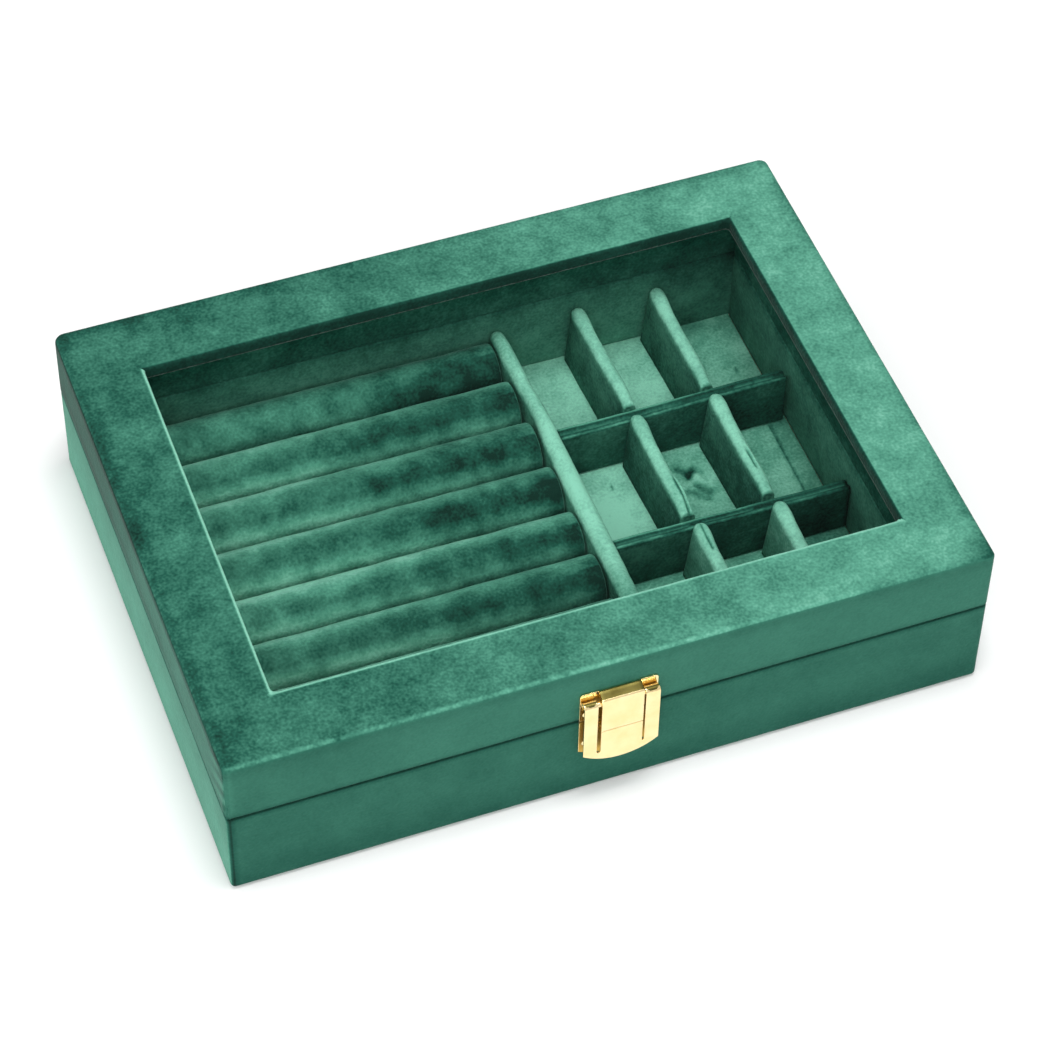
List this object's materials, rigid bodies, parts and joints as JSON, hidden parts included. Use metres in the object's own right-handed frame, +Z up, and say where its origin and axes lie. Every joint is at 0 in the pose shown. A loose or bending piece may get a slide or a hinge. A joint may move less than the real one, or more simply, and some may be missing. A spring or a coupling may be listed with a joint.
{
  "type": "ring display box",
  "caption": "Velvet-covered ring display box with a glass-topped hinged lid, gold hasp latch, foam ring rolls and divided compartments.",
  "frame": {"origin": "centre of the underside, on the surface the box stands on; the centre of the velvet-covered box without latch and hinges", "axes": "+Z up, -Y out of the front with the latch, +X to the right along the box's longest side, seen from the front"},
  "size_m": [0.2, 0.1575, 0.048],
  "materials": {
    "outer_velvet": "velvet",
    "inner_velvet": "velvet",
    "roll_velvet": "velvet over foam",
    "foam": "dull",
    "underside_panel": "matte",
    "board": "raw fibreboard",
    "window_glass": "clear",
    "gilt_brass": "polished gilt"
  },
  "bodies": {
    "base": {"underside": "underside_panel", "floor_board": "board", "base_front": "board", "base_back": "board", "base_left": "board", "base_right": "board", "base_cover": "outer_velvet", "floor_lining": "inner_velvet", "base_lining_front": "inner_velvet", "base_lining_back": "inner_velvet", "base_lining_left": "inner_velvet", "base_lining_right": "inner_velvet", "roll_bed": "foam", "roll_1": "roll_velvet", "roll_2": "roll_velvet", "roll_3": "roll_velvet", "roll_4": "roll_velvet", "roll_5": "roll_velvet", "roll_6": "roll_velvet", "roll_7": "roll_velvet", "roll_8": "roll_velvet", "main_divider": "inner_velvet", "cross_back": "inner_velvet", "cross_front": "inner_velvet", "short_11": "inner_velvet", "short_12": "inner_velvet", "short_21": "inner_velvet", "short_22": "inner_velvet", "short_31": "inner_velvet", "short_32": "inner_velvet", "latch_strike": "gilt_brass", "latch_nails_base": "gilt_brass", "hinge_base_left": "gilt_brass", "hinge_base_right": "gilt_brass", "hinge_nails_base": "gilt_brass"},
    "lid": {"window_frame": "board", "lid_front": "board", "lid_back": "board", "lid_left": "board", "lid_right": "board", "lid_cover": "outer_velvet", "glass": "window_glass", "lid_lining_front": "inner_velvet", "lid_lining_back": "inner_velvet", "lid_lining_left": "inner_velvet", "lid_lining_right": "inner_velvet", "latch_plate": "gilt_brass", "latch_pin": "gilt_brass", "latch_nails_lid": "gilt_brass", "hinge_lid_left": "gilt_brass", "hinge_lid_right": "gilt_brass", "hinge_pin_left": "gilt_brass", "hinge_pin_right": "gilt_brass", "hinge_nails_lid": "gilt_brass"},
    "flap": {"latch_flap": "gilt_brass"}
  },
  "joints": [
    {"name": "lid_hinge", "type": "hinge", "parent": "base", "child": "lid", "pos_m": [0, 0.07685, 0.0285], "axis": [-1, 0, 0], "range_deg": [0, 104]},
    {"name": "latch_swing", "type": "hinge", "parent": "lid", "child": "flap", "pos_m": [0, -0.0769, 0.03585], "axis": [-1, 0, 0], "range_deg": [0, 120]}
  ]
}
